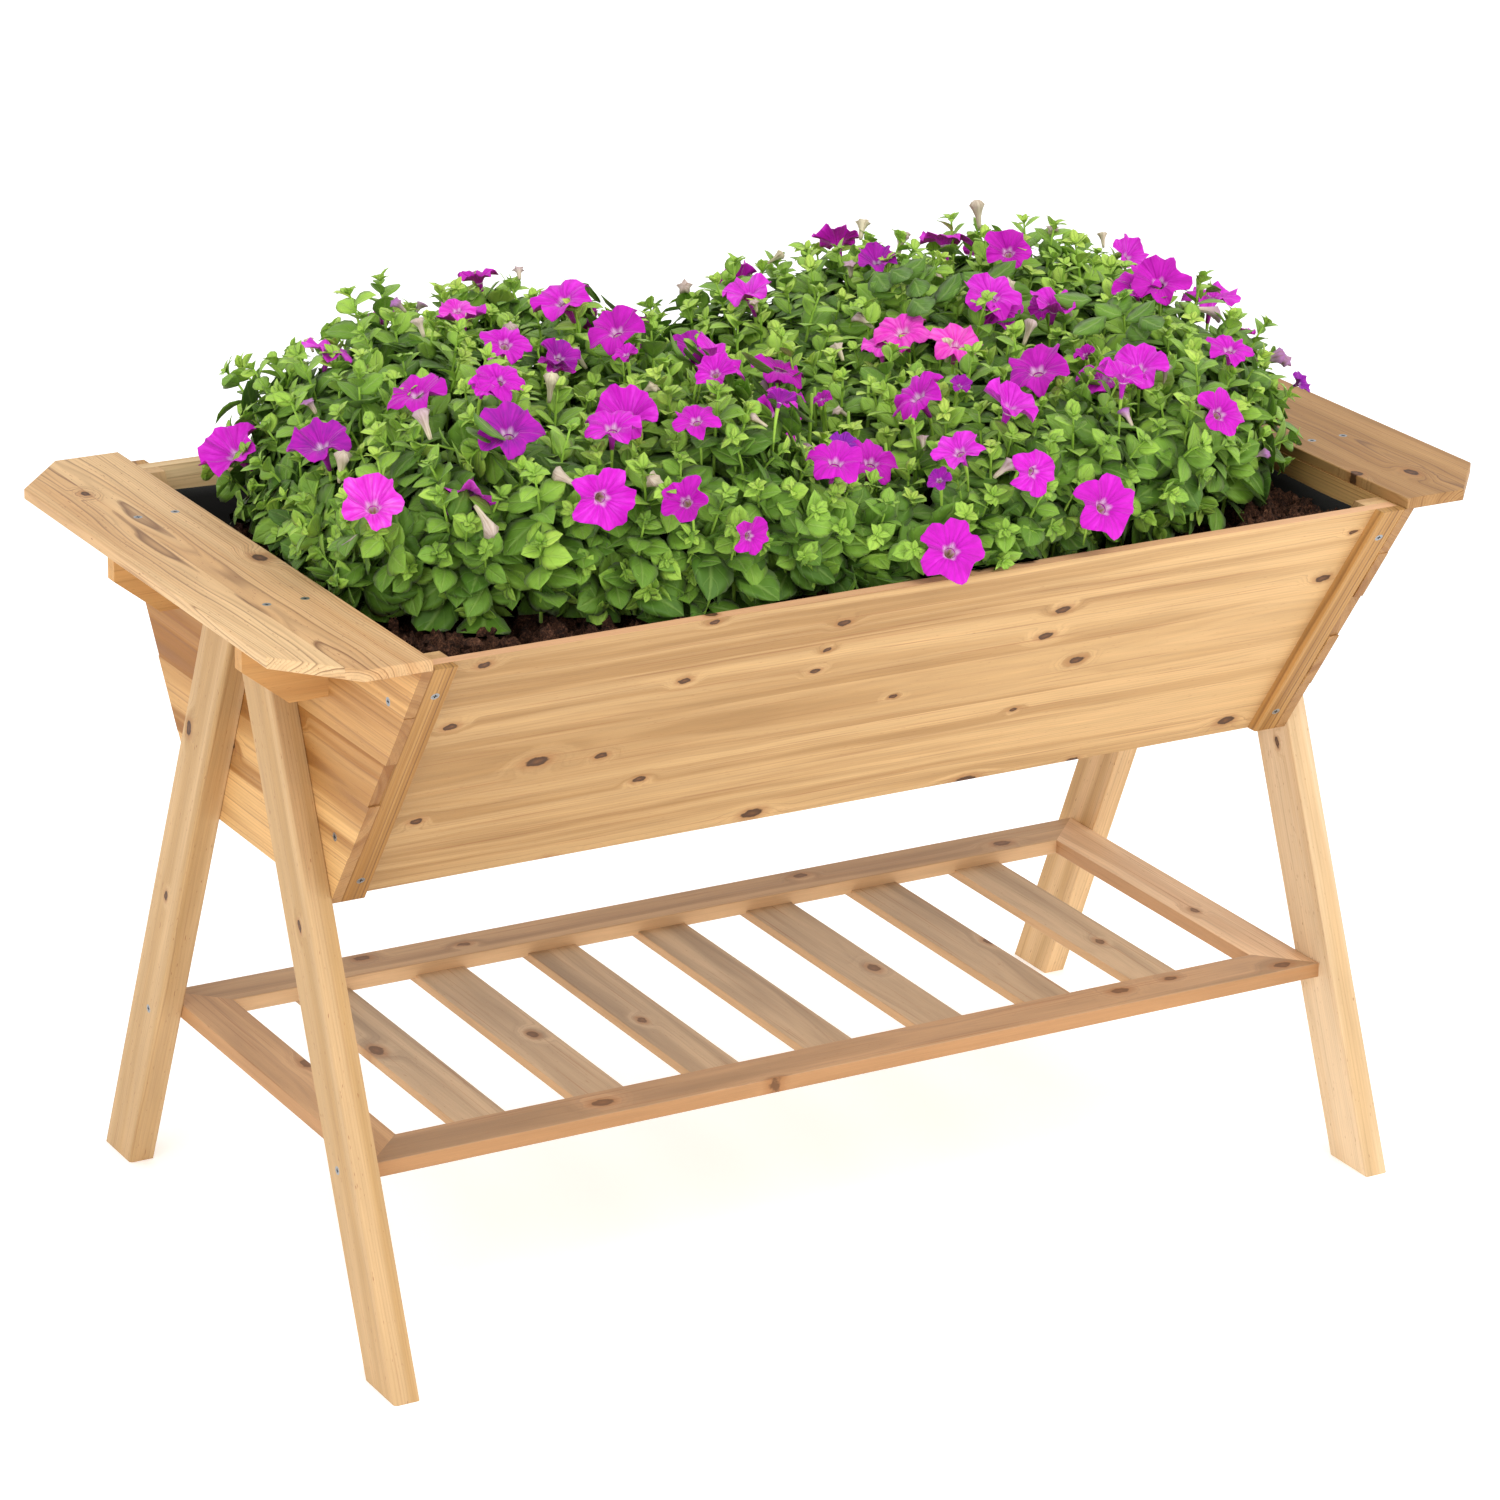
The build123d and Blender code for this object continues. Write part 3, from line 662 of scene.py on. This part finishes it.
def leaf_rings(base, along, face, length, width, fold, droop, youth, sections, points):
    """Leaves as thin closed skins. Across, each section is a loop, over the top and back underneath; along,
    the half width swells from a narrow stalk to a broad oval and closes at a point. The blade folds up
    from its midrib and droops with the square of the distance."""
    t = np.linspace(0, 1, sections)
    half = points // 2
    s = np.concatenate([np.linspace(-1, 1, half + 1), np.linspace(1, -1, half + 1)[1:-1]])
    under = np.concatenate([np.zeros(half + 1), np.ones(half - 1)])
    blade = np.clip((t - 0.10) / 0.90, 0, 1)
    swell = np.maximum(np.sin(math.pi * blade ** 0.80) ** 0.62, 0) * 0.5
    swell = np.maximum(swell, 0.03 * (1 - t))
    side = unit(np.cross(along, face))
    width, fold, droop = (v[:, None, None] for v in (width, fold, droop))
    row, swell = t[None, :, None], swell[None, :, None]
    u = s * swell * width
    lift = fold * np.abs(u) + 0.05 * width * np.cos(s * 2.6) * swell
    lift = lift - droop * length[:, None, None] * row ** 2 - under * 0.0005
    forward = (t * length[:, None])[:, :, None] * (1 - 0.12 * droop * row ** 2)
    rings = in_frame(base, (along, forward), (side, u), (face, lift))
    return rings, ring_marks(s * np.where(under > 0, 0.999, 1), t, youth)


def leaf_material():
    """Petunia leaves, soft and downy: matt yellow-green at the shoot tips, deeper green below, with a paler
    sunken midrib and side veins. marks are across, along and youth."""
    material, add = new_material("petunia_leaf")
    marks = add("Attribute", out="Vector", attribute_name="marks")
    across, along, young = (add("SeparateXYZ", marks, out=axis) for axis in "XYZ")
    across = add("ABSOLUTE", across)
    mottle = add("noise", add("TexCoord", out="Object"), 90.0, 3.0)
    age = add("MULTIPLY_ADD", mottle, 0.35, add("SUBTRACT", young, 0.175), use_clamp=True)
    colour = add("ValToRGB", age,
                 stops=((0.0, "#477016"), (0.35, "#739e2f"), (0.7, "#9cc545"), (1.0, "#bfdc5c")))
    vein_at = add("MULTIPLY", add("MULTIPLY_ADD", across, -0.45, along), 7.0)
    vein = add("ease", add("PINGPONG", vein_at, 1.0), 0.0, 0.22, 1.0, 0.0)
    rib = add("ease", across, 0.0, 0.16, 1.0, 0.0)
    lines = add("MULTIPLY_ADD", vein, 0.35, rib, use_clamp=True)
    colour = add("mix", add("MULTIPLY", lines, 0.26), colour, "#a9c96a")
    coat(add, colour, 0.55, add("bump", lines, 0.7, 0.0012, invert=True), 0.35, Sheen_Weight=0.18,
         Sheen_Roughness=0.5, Sheen_Tint="#dfeec0")
    return material


def petal_material():
    """Petunia petals, thin and velvety: magenta with a sheen, darker veins that run out from a white throat
    to the edge, and a green-yellow eye. marks are turn, reach and tint."""
    material, add = new_material("petunia_petal")
    marks = add("Attribute", out="Vector", attribute_name="marks")
    turn, reach, tint = (add("SeparateXYZ", marks, out=axis) for axis in "XYZ")
    cloud = add("noise", add("TexCoord", out="Object"), 70.0, 3.0)
    body = add("MULTIPLY_ADD", cloud, 0.45, add("SUBTRACT", tint, 0.42))
    # streaks that fan out from the throat: noise fine round the flower and long along its radius
    fan = add("noise", add("stretch", marks, (48.0, 1.6, 57.0)), 1.0, 3.0, 0.6)
    body = add("MULTIPLY_ADD", fan, 0.62, add("SUBTRACT", body, 0.18), use_clamp=True)
    colour = add("ValToRGB", body, stops=((0.0, "#7a0a86"), (0.26, "#b400a8"), (0.52, "#cc0cc2"),
                                          (0.74, "#dd3ad8"), (1.0, "#ee86ee")))
    # twenty veins in a turn
    vein = add("MULTIPLY_ADD", add("SINE", add("MULTIPLY", turn, 125.66)), 0.5, 0.5)
    vein = add("POWER", vein, 4.0)
    colour = add("mix", add("MULTIPLY", vein, 0.35), colour, "#b01aa6")
    # a few flowers are violet, a few hot pink
    colour = add("mix", add("range", tint, 0.16, 0.26, 0.6, 0.0), colour, "#8f1fc0")
    colour = add("mix", add("range", tint, 0.80, 0.86, 0.0, 0.42), colour, "#f0168e")
    # white star: five pale rays in a turn run out between the lobes
    ray = add("MULTIPLY_ADD", add("COSINE", add("MULTIPLY", turn, 31.416)), 0.035, reach)
    throat = add("ValToRGB", ray,
                 stops=((0.0, "#7c8a2c"), (0.10, "#d8c98a"), (0.17, "#fdeffc"), (1.0, "#ffffff")))
    colour = add("mix", add("ease", ray, 0.11, 0.30, 0.85, 0.0), colour, throat)
    bump = add("bump", add("MULTIPLY_ADD", fan, 2.0, vein), 0.6, 0.0012)
    coat(add, colour, 0.6, bump, 0.25, Sheen_Weight=0.2, Sheen_Roughness=0.4, Sheen_Tint="#ffc8fb")
    return material


def bud_material():
    """Petunia buds and spent flowers: furled, papery, cream with lilac ends and brown creases. marks are
    turn, reach and tint."""
    material, add = new_material("spent_petunia")
    marks = add("Attribute", out="Vector", attribute_name="marks")
    crease = add("noise", add("stretch", marks, (14.0, 1.2, 31.0)), 1.0, 2.0)
    lilac = add("MULTIPLY", add("SeparateXYZ", marks, out="Y"), add("SeparateXYZ", marks, out="Z"))
    colour = add("mix", lilac, "#d8cfae", "#a45ab4")
    colour = add("mix", add("range", crease, 0.45, 0.7, 0.0, 0.6), colour, "#8a6a4c")
    coat(add, colour, 0.7, add("bump", crease, 0.6, 0.001), 0.2)
    return material


def bow(start, bend, end, t):
    """Points on the bowed line from start by way of bend to end, at share t."""
    return (1 - t) ** 2 * start + 2 * t * (1 - t) * bend + t * t * end


def stem_rings(start, bend, end, thin, thick, sections=6, points=5):
    """Round stems along a bowed line from start by way of bend to end, tapering from thick to thin."""
    t = np.linspace(0, 1, sections)[None, :, None]
    line = bow(start[:, None], bend[:, None], end[:, None], t)
    way = unit(np.gradient(line, axis=1))
    side = unit(np.cross(way, (0.31, 0.77, 0.12)))
    over = np.cross(way, side)
    turn = np.linspace(0, TURN, points, endpoint=False)
    radius = thick + (thin - thick) * t
    ring = (side[:, :, None] * np.cos(turn)[:, None]
            + over[:, :, None] * np.sin(turn)[:, None]) * radius[..., None]
    return line[:, :, None] + ring


def make_plants():
    """Bedding petunias: short leafy shoots all over the mound, each a stem with leaves set round it at the
    golden angle, small and yellow-green at the tip, larger and darker below, and trumpet flowers."""
    leaf = leaf_material()
    rng = np.random.default_rng(12)
    angle, climb = spread(9000, 0.0335, rng)
    tips, out = mound(angle, climb), mound_face(angle, climb)
    n = len(tips)
    grow = unit(0.80 * out + np.array([0, 0, 0.50]) + rng.normal(0, 0.24, (n, 3)))
    tips = tips + grow * (rng.random(n) ** 2.6 * 0.040)[:, None]
    reach = rng.uniform(0.09, 0.12, n)[:, None]
    foot = tips - grow * (reach * 0.55) - np.array(UP) * (reach * 0.5)
    foot[:, 2] = np.maximum(foot[:, 2], plant_foot_z)
    bend = tips - grow * (reach * 0.5)
    low_down = np.interp(climb, [0.15, 0.55], [1.0, 0.0])

    # broad leaves down the shoot
    number = 9
    order = np.arange(number)
    back = (0.007 + 0.0090 * order)[None] * rng.uniform(0.85, 1.15, (n, number))
    share = 1 - np.clip(back / reach, 0, 0.98)
    base = bow(foot[:, None], bend[:, None], tips[:, None], share[..., None])
    way = np.broadcast_to(grow[:, None], base.shape)
    side = unit(np.cross(way, (0.21, 0.33, 0.9)))
    over = np.cross(way, side)
    turn = rng.uniform(0, ANY_PHASE, n)[:, None] + order * GOLDEN_ANGLE + rng.normal(0, 0.25, (n, number))
    radial = unit(side * np.cos(turn)[..., None] + over * np.sin(turn)[..., None] + 0.35 * out[:, None])
    lean = (np.radians(52 + 5.0 * order)[None] + rng.normal(0, 0.20, (n, number)))[..., None]
    along = unit(way * np.cos(lean) + radial * np.sin(lean))
    length = (0.018 + 0.0033 * order)[None] * rng.uniform(0.8, 1.25, (n, number))
    length = length * (1 + 0.20 * low_down)[:, None]
    sky = way * 0.3 + out[:, None] * 0.9 + np.array([0, 0, 0.5]) + rng.normal(0, 0.30, (n, number, 3))
    young = np.clip(0.74 - 0.066 * order[None] + rng.normal(0, 0.10, (n, number)), 0.02, 1)
    young = young + rng.normal(0, 0.09, n)[:, None] - 0.20 * low_down[:, None]
    base, along, face = (v.reshape(-1, 3) for v in (base, along, square_to(sky, along)))
    length = length.ravel()
    m = n * number
    rings, marks = leaf_rings(base, along, face, length, length * rng.uniform(0.68, 0.86, m),
                              rng.uniform(0.05, 0.40, m), rng.uniform(0.05, 0.42, m), young.ravel(), 6, 8)
    west_to_east = np.argsort(base[:, 0], kind="stable")
    pieces = [make_foliage(f"leaves_{i + 1}", rings[part], marks[part], leaf)
              for i, part in enumerate(np.array_split(west_to_east, 6))]

    # rosette of small leaves at each tip
    few = 5
    m = n * few
    spin = (rng.uniform(0, ANY_PHASE, n)[:, None] + np.arange(few) * GOLDEN_ANGLE)[..., None]
    lean = np.radians(rng.uniform(18, 80, (n, few)))[..., None]
    radial = side[:, :1] * np.cos(spin) + over[:, :1] * np.sin(spin)
    along = unit(way[:, :1] * np.cos(lean) + radial * np.sin(lean))
    base = np.broadcast_to((tips - grow * 0.003)[:, None], along.shape)
    face = square_to(np.broadcast_to(way[:, :1], along.shape), along)
    length = rng.uniform(0.009, 0.018, m)
    droop = rng.uniform(0.1, 0.4, m)
    young = np.repeat(np.clip(rng.normal(0.84, 0.10, n) - 0.2 * low_down, 0, 1), few)
    rings, marks = leaf_rings(base.reshape(-1, 3), along.reshape(-1, 3), face.reshape(-1, 3), length,
                              length * 0.66, np.full(m, 0.4), droop, young, 5, 6)
    for i, part in enumerate(np.array_split(np.arange(m), 2)):
        make_foliage(f"shoot_tips_{i + 1}", rings[part], marks[part], leaf)
    make_inner_leaves(leaf)

    # main stems rise from the soil under the leaves
    count = 110
    root = np.stack([rng.uniform(-0.42, 0.44, count), rng.uniform(-0.20, 0.24, count),
                     np.full(count, 0.725)], axis=-1)
    top = root * np.array([1.06, 1.08, 0]) + np.array(UP) * rng.uniform(0.84, 0.90, count)[:, None]
    trunk = stem_rings(root, (root + top) / 2 + rng.normal(0, 0.02, (count, 3)), top, 0.0018, 0.0032)
    points, faces = loft(np.concatenate([stem_rings(foot, bend, tips, 0.0011, 0.0021), trunk]))
    make_piece("stems", points, faces, leaf, np.tile([0.5, 0.07, 0.62], (len(points), 1)))
    make_flowers(leaf)
    make_buds()
    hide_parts("plants")


def make_inner_leaves(leaf):
    """Old leaves inside the planting, which the eye sees as green shade between the shoots: laid flat along
    the mound's own surface, a few centimetres under it."""
    rng = np.random.default_rng(44)
    count = 1700
    angle, climb = scatter(count, rng)
    out = mound_face(angle, climb)
    base = mound(angle, climb) - out * rng.uniform(0.020, 0.045, count)[:, None]
    along = square_to(rng.normal(0, 1, (count, 3)), out)
    length = rng.uniform(0.034, 0.046, count)
    fold, droop, young = (rng.uniform(low, high, count)
                          for low, high in ((0.05, 0.3), (0.0, 0.2), (0.0, 0.25)))
    rings, marks = leaf_rings(base, along, out, length, length * 0.8, fold, droop, young, 5, 6)
    make_foliage("inner_leaves", rings, marks, leaf)


# Rows of flowers on the side that faces front, each: how far up the mound, then places along it in mm
bloom_rows = (
    (0.17, (-190, 20, 190)),
    (0.25, (-520, -330, -250, 110, 360)),
    (0.34, (-420, -90, 60, 250, 430)),
    (0.42, (-470, -370, -290, -200, 140, 330)),
    (0.50, (-350, -250, -160, 0, 210, 290, 480)),
    (0.60, (-470, -310, -150, -100, 90, 380)),
    (0.72, (-380, -60, 180, 300, 420)),
    (0.84, (-300, -20, 240)),
)
# A trumpet's skin, up the outside, over the edge and back down the inside to the throat: share of the
# disc's radius, and height over the seat
trumpet_reach = np.array([0.07, 0.10, 0.17, 0.36, 0.66, 0.92, 1.0, 0.985, 0.90, 0.64, 0.36, 0.20, 0.13, 0.09])
trumpet_rise = np.array([-1.05, -0.70, -0.34, -0.10, -0.02, 0.0, 0.0, 0.012, 0.025, 0.015, -0.05, -0.24,
                         -0.50, -0.70])
trumpet_outside = 5                     # sections that make the outside of the tube


def front_angle(climb, x):
    """The angle, on the side that faces front, where the mound passes x at that climb."""
    low, high = -math.pi / 2 - 1.5, -math.pi / 2 + 1.5
    for _ in range(30):
        middle = (low + high) / 2
        if mound(np.array([middle]), np.array([climb]))[0, 0] < x:
            low = middle
        else:
            high = middle
    return low


def make_flowers(leaf):
    """Petunia trumpets. Turn and reach give each point: a narrow tube opens into a flat ruffled disc of
    five lobes. The petals are followed by calyx and stalk."""
    rng = np.random.default_rng(31)
    more, high = spread(900, 0.105, rng)
    behind = (np.sin(more) > -0.15) & (high > 0.16)
    little, little_high = spread(300, 0.125, rng)
    small = (np.sin(little) < 0) & (little_high > 0.22)
    placed = [(front_angle(climb, x * MM), climb) for climb, row in bloom_rows for x in row]
    angles, climbs = np.array(placed).T
    angle = np.concatenate([angles, more[behind], little[small]])
    climb = np.concatenate([climbs, high[behind], little_high[small]])
    n, last = len(angle), small.sum()
    seat, out = mound(angle, climb), mound_face(angle, climb)
    look = unit(out * 0.65 + np.array([0, 0, 0.35]) + np.array([-0.15, -0.30, 0]) * (seat[:, 1:2] < 0.15)
                + rng.normal(0, 0.24, (n, 3)))
    size = 0.019 + 0.0145 * rng.random(n) ** 0.8
    size[-last:] = rng.uniform(0.011, 0.018, last)
    seat = seat + out * np.where(seat[:, 1] < 0.12, rng.uniform(0.020, 0.036, n), 0.012)[:, None]

    turn = np.linspace(0, TURN, 40, endpoint=False)
    lobe = 1 - 0.20 * np.abs(np.cos(2.5 * turn)) ** 5 + 0.03 * np.cos(5 * turn + math.pi)
    waves = np.array([2, 3, 4, 7, 11])[None, :, None]
    sway, start = rng.normal(0, 0.028, (n, 5, 1)), rng.uniform(0, ANY_PHASE, (n, 5, 1))
    ragged = 1 + (sway * np.cos(waves * turn + start)).sum(1)
    reach, rise, each = trumpet_reach[None, :, None], trumpet_rise[None, :, None], size[:, None, None]
    outer = np.clip((reach - 0.2) / 0.8, 0, 1)
    radius = each * reach * (1 + outer * (lobe * ragged[:, None] - 1))
    phase = rng.uniform(0, ANY_PHASE, (n, 1, 1))
    ruffle = (np.cos(5 * turn) * 0.13 + np.cos(7 * turn + phase) * 0.09
              + np.cos(12 * turn + 2 * phase) * 0.06)
    cup = rng.uniform(-0.30, 0.16, n)[:, None, None]
    height = each * (rise + outer ** 1.6 * (ruffle - cup) + outer ** 2 * 0.20 * np.cos(turn + 3 * phase))
    rings = ring_rows(seat, look, (0.1, 0.2, 0.97), turn, radius, height)
    tint = np.clip(rng.normal(0.53, 0.15, n), 0.24, 0.98)
    tint[-last:] = rng.uniform(0.05, 0.75, last)
    # the outside of the tube is pale mauve, not white: its reach is kept past the white throat
    outside = np.arange(len(trumpet_reach)) < trumpet_outside
    marks = ring_marks(turn / TURN, np.where(outside, 0.5, trumpet_reach), tint)
    skin, faces = loft(rings)
    make_piece("petals", skin, faces, petal_material(), marks.reshape(-1, 3))

    root = seat - look * size[:, None]
    foot = root - look * 0.012 - np.array(UP) * 0.030
    stalk = stem_rings(foot, root - look * 0.006, root + look * 0.004, 0.0022, 0.0010, 6, 6)
    make_foliage("flower_stalks", stalk, np.tile([0.5, 0.07, 0.7], (stalk.size // 3, 1)), leaf)


def make_buds():
    """Furled trumpets between the leaves: a narrow tube that swells towards its folded mouth and closes."""
    rng = np.random.default_rng(52)
    angle, climb = spread(700, 0.085, rng)
    seen = climb > 0.12
    angle, climb = angle[seen], climb[seen]
    n = len(angle)
    out = mound_face(angle, climb)
    seat = mound(angle, climb) + out * rng.uniform(-0.004, 0.010, n)[:, None]
    look = unit(out * 0.6 + np.array([0, 0, 0.3]) + rng.normal(0, 0.45, (n, 3)))
    along = np.array([0.0, 0.15, 0.45, 0.70, 0.86, 0.97, 1.0])
    wide = np.array([0.06, 0.08, 0.10, 0.17, 0.24, 0.15, 0.03])[None, :, None]
    turn = np.linspace(0, TURN, 10, endpoint=False)
    size = rng.uniform(0.020, 0.034, n)
    each, row = size[:, None, None], along[None, :, None]
    radius = each * wide * (1 + 0.28 * np.cos(5 * turn) * row)
    height = each * row * np.ones(10)
    droop = rng.uniform(-0.2, 0.5, n)[:, None, None] * height ** 2 / each
    rings = ring_rows(seat, look, (0.3, 0.1, 0.9), turn, radius, height)
    rings = rings - np.array(UP) * droop[..., None]
    marks = ring_marks(turn / TURN, along, rng.random(n) ** 1.5)
    make_foliage("buds", rings, marks, bud_material())


# --- Studio ---
def make_studio():
    """Pale floor, even white surroundings, a broad soft key from the upper right and a low fill."""
    size, low = 40.0, -0.0004
    mesh = bpy.data.meshes.new("studio_floor")
    mesh.from_pydata([(-size, -size, low), (size, -size, low), (size, size, low), (-size, size, low)],
                     [], [(0, 1, 2, 3)])
    floor = bpy.data.objects.new("studio_floor", mesh)
    bpy.context.scene.collection.objects.link(floor)
    material, add = new_material("white_paper_sweep")
    cloud = add("noise", add("TexCoord", out="Object"), 3.0)
    colour = add("mix", cloud, "#f6f6f6", "#fafafa")
    coat(add, colour, 0.9, specular=0.1, Emission_Color="#ffffff", Emission_Strength=0.32)
    mesh.materials.append(material)

    world = bpy.data.worlds.new("studio")
    bpy.context.scene.world = world
    world.use_nodes = True
    sky = world.node_tree.nodes["Background"]
    sky.inputs["Color"].default_value = linear("#ffffff")
    sky.inputs["Strength"].default_value = 1.0

    def soft_light(name, place, aim, width, power, colour):
        lamp = bpy.data.lights.new(name, "AREA")
        lamp.size = width
        lamp.energy = power
        lamp.color = linear(colour)[:3]
        holder = bpy.data.objects.new(name, lamp)
        holder.location = place
        holder.rotation_euler = (Vector(aim) - Vector(place)).to_track_quat("-Z", "Y").to_euler()
        bpy.context.scene.collection.objects.link(holder)

    soft_light("key", (1.6, -3.6, 4.6), (0, 0, 0.6), 3.2, 120, "#fffdf8")
    soft_light("fill", (-4.0, -2.5, 2.2), (0, 0, 0.5), 2.5, 54, "#f8faff")


def make_camera():
    """The viewing angle: from the front left, a little above, with a long lens, and a slight roll."""
    place, aim = Vector((-2.7247, -4.7014, 2.4724)), Vector((0.0957, 0.1728, 0.4029))
    roll = math.radians(1.139)
    back = (place - aim).normalized()
    right = Vector(UP).cross(back).normalized()
    up = back.cross(right)
    c, s = math.cos(roll), math.sin(roll)
    right, up = right * c + up * s, up * c - right * s
    lens = bpy.data.cameras.new("camera")
    lens.lens = 130.0
    lens.sensor_width = 36.0
    lens.clip_end = 200.0
    camera = bpy.data.objects.new("camera", lens)
    turn = Matrix((right, up, back)).transposed().to_4x4()
    camera.matrix_world = Matrix.Translation(place) @ turn
    bpy.context.scene.collection.objects.link(camera)
    bpy.context.scene.camera = camera


dress_wood()
dress_screws()
make_liner()
make_soil()
make_plants()
make_studio()
make_camera()
bpy.context.scene.view_settings.view_transform = "Standard"
